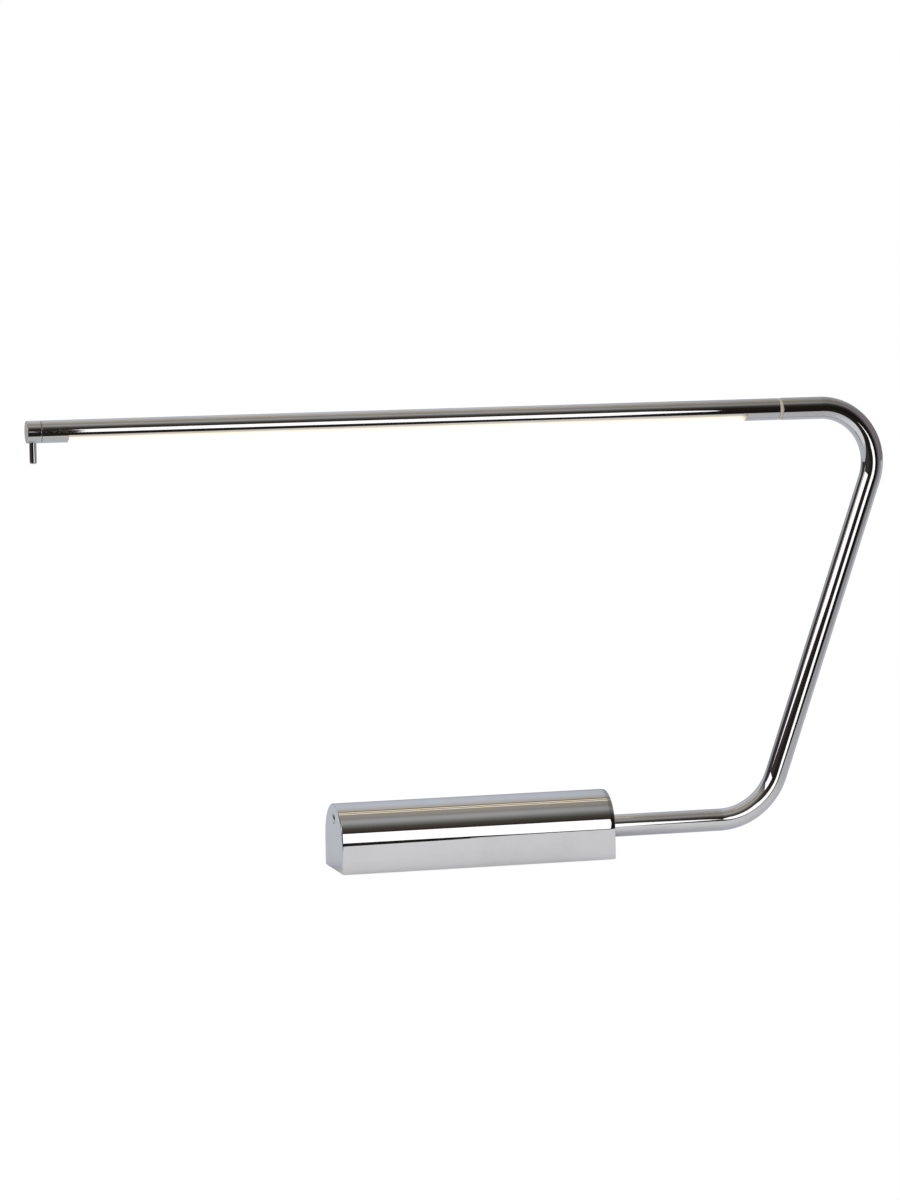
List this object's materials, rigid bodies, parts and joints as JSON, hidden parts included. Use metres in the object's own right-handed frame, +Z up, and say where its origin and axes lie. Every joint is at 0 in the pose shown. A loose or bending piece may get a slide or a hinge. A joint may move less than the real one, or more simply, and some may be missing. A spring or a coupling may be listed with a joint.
{
  "type": "picture light",
  "caption": "Free-standing cantilever LED picture light: weighted arched bar base, bent round tube arm and a long round LED tube that swivels about its own axis.",
  "frame": {"origin": "middle of the base's resting plane, under the centre of the bar base", "axes": "+X along the base towards the arm (the longest extent), +Y to the back where the power inlet is, +Z up; the base, arm and LED tube all lie in the plane Y = 0"},
  "size_m": [0.6551, 0.0558, 0.34],
  "materials": {
    "chrome_plate": "mirror-polished chrome plate",
    "zinc_steel": "zinc-plated steel",
    "black_iron": "black painted casting",
    "aluminium": "mill finish",
    "brass": "turned",
    "black_plastic": "moulded, fine matt",
    "white_plastic": "moulded or solder-mask white",
    "cable_sheath": "smooth PVC sheath",
    "circuit_board": "solder mask",
    "pad_rubber": "matt, fine grain",
    "opal_diffuser": "opal acrylic, satin, lit warm white"
  },
  "bodies": {
    "stand": {"arm_cable": "cable_sheath", "arm_clamp_block": "aluminium", "arm_set_screw_1": "zinc_steel", "arm_set_screw_2": "zinc_steel", "arm_tube": "chrome_plate", "ballast_screw_1": "zinc_steel", "ballast_screw_2": "zinc_steel", "ballast_weight": "black_iron", "base_cable": "cable_sheath", "base_pad": "pad_rubber", "base_shell": "chrome_plate", "board_standoff_1": "white_plastic", "board_standoff_2": "white_plastic", "board_standoff_3": "white_plastic", "board_standoff_4": "white_plastic", "bottom_plate": "zinc_steel", "bracket_screw": "zinc_steel", "button_spring": "zinc_steel", "clamp_screw_1": "zinc_steel", "clamp_screw_2": "zinc_steel", "control_board": "circuit_board", "dc_inlet_body": "black_plastic", "dc_inlet_nut": "chrome_plate", "dc_inlet_pin": "brass", "dimmer_chip": "black_plastic", "filter_capacitor": "aluminium", "left_end_plate": "chrome_plate", "output_terminal": "black_plastic", "plate_screw_1": "zinc_steel", "plate_screw_2": "zinc_steel", "plate_screw_3": "zinc_steel", "plate_screw_4": "zinc_steel", "power_inductor": "black_plastic", "retaining_clip": "zinc_steel", "right_end_plate": "chrome_plate", "seam_ring": "white_plastic", "switch_body": "black_plastic", "switch_bracket": "zinc_steel", "swivel_spigot": "chrome_plate"},
    "button": {"push_button": "chrome_plate"},
    "head": {"head_tube": "chrome_plate", "swivel_hub": "brass", "stop_pin": "zinc_steel", "friction_washer": "white_plastic", "led_carrier": "aluminium", "led_strip": "white_plastic", "diffuser": "opal_diffuser", "head_cable": "cable_sheath", "end_cap": "chrome_plate", "handle_pin": "chrome_plate"}
  },
  "joints": [
    {"name": "head_swivel", "type": "hinge", "parent": "stand", "child": "head", "pos_m": [0.246, 0, 0.3316], "axis": [1, 0, 0], "range_deg": [-90, 90]},
    {"name": "button_press", "type": "slide", "parent": "stand", "child": "button", "axis": [1, 0, 0], "range_m": [0, 0.0006], "stiffness_N_per_m": 500, "springref_m": -0.001, "deforming": ["button_spring"]}
  ]
}
